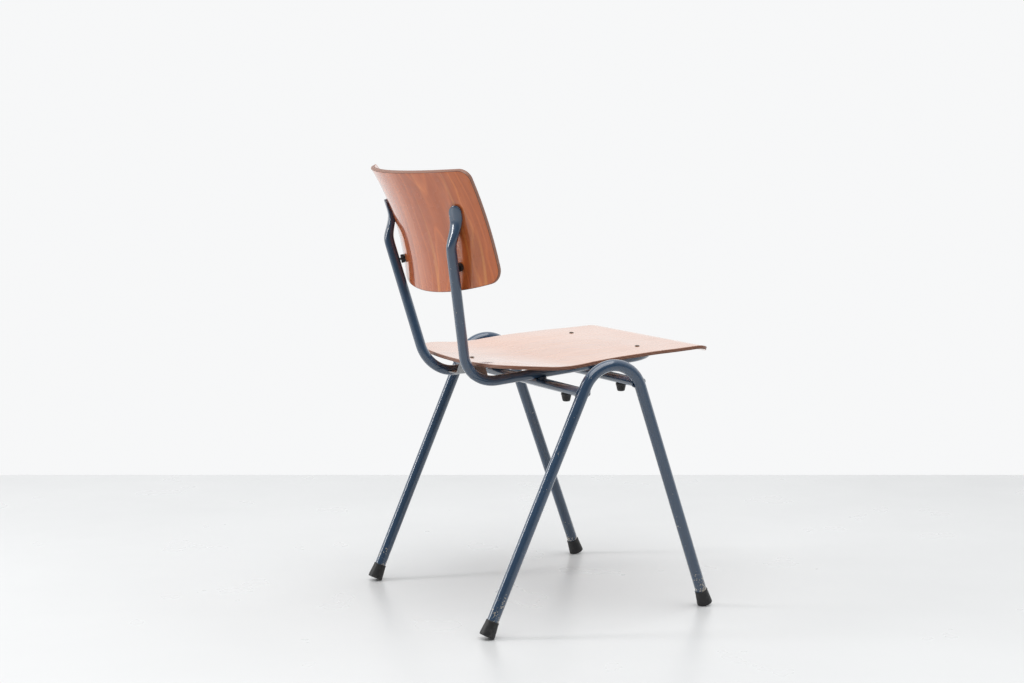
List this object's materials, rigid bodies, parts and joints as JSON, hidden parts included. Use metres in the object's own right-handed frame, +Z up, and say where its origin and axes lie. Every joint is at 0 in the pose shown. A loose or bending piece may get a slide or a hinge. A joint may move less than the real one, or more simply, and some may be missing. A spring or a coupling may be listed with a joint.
{
  "type": "stacking chair",
  "caption": "Stacking side chair with bent tube leg arches, one seat-and-back tube, and a moulded plywood seat and backrest.",
  "frame": {"origin": "on the floor, under the middle of the chair's overall width and depth", "axes": "+Z up, the sitter faces -Y, +X is the sitter's left"},
  "size_m": [0.471, 0.5457, 0.7688],
  "materials": {
    "seat_wood": "clear satin lacquer over pale pinkish beech veneer",
    "back_wood": "glossy clear lacquer over warm reddish-brown veneer",
    "frame_paint": "glossy dark blue-grey paint",
    "rubber": "matte black",
    "rivet_metal": "dull, slightly tarnished",
    "zinc": "dull zinc plating"
  },
  "bodies": {
    "root": {"seat": "seat_wood", "backrest": "back_wood", "seat_back_tube": "frame_paint", "rear_strap": "zinc", "cross_tube_rear": "frame_paint", "cross_tube_front": "frame_paint", "bumper_rear_left": "rubber", "bumper_rear_right": "rubber", "bumper_front_left": "rubber", "bumper_front_right": "rubber", "leg_arch_left": "frame_paint", "leg_arch_right": "frame_paint", "foot_cap_rear_left": "rubber", "foot_cap_rear_right": "rubber", "foot_cap_front_left": "rubber", "foot_cap_front_right": "rubber", "seat_bracket_left": "frame_paint", "seat_bracket_right": "frame_paint", "seat_rivet_rear": "rivet_metal", "seat_rivet_front_left": "rivet_metal", "back_rivet_upper_left": "rivet_metal", "back_rivet_lower_left": "rivet_metal", "back_spacer_left": "rubber", "seat_rivet_front_right": "rivet_metal", "back_rivet_upper_right": "rivet_metal", "back_rivet_lower_right": "rivet_metal", "back_spacer_right": "rubber"}
  },
  "joints": []
}
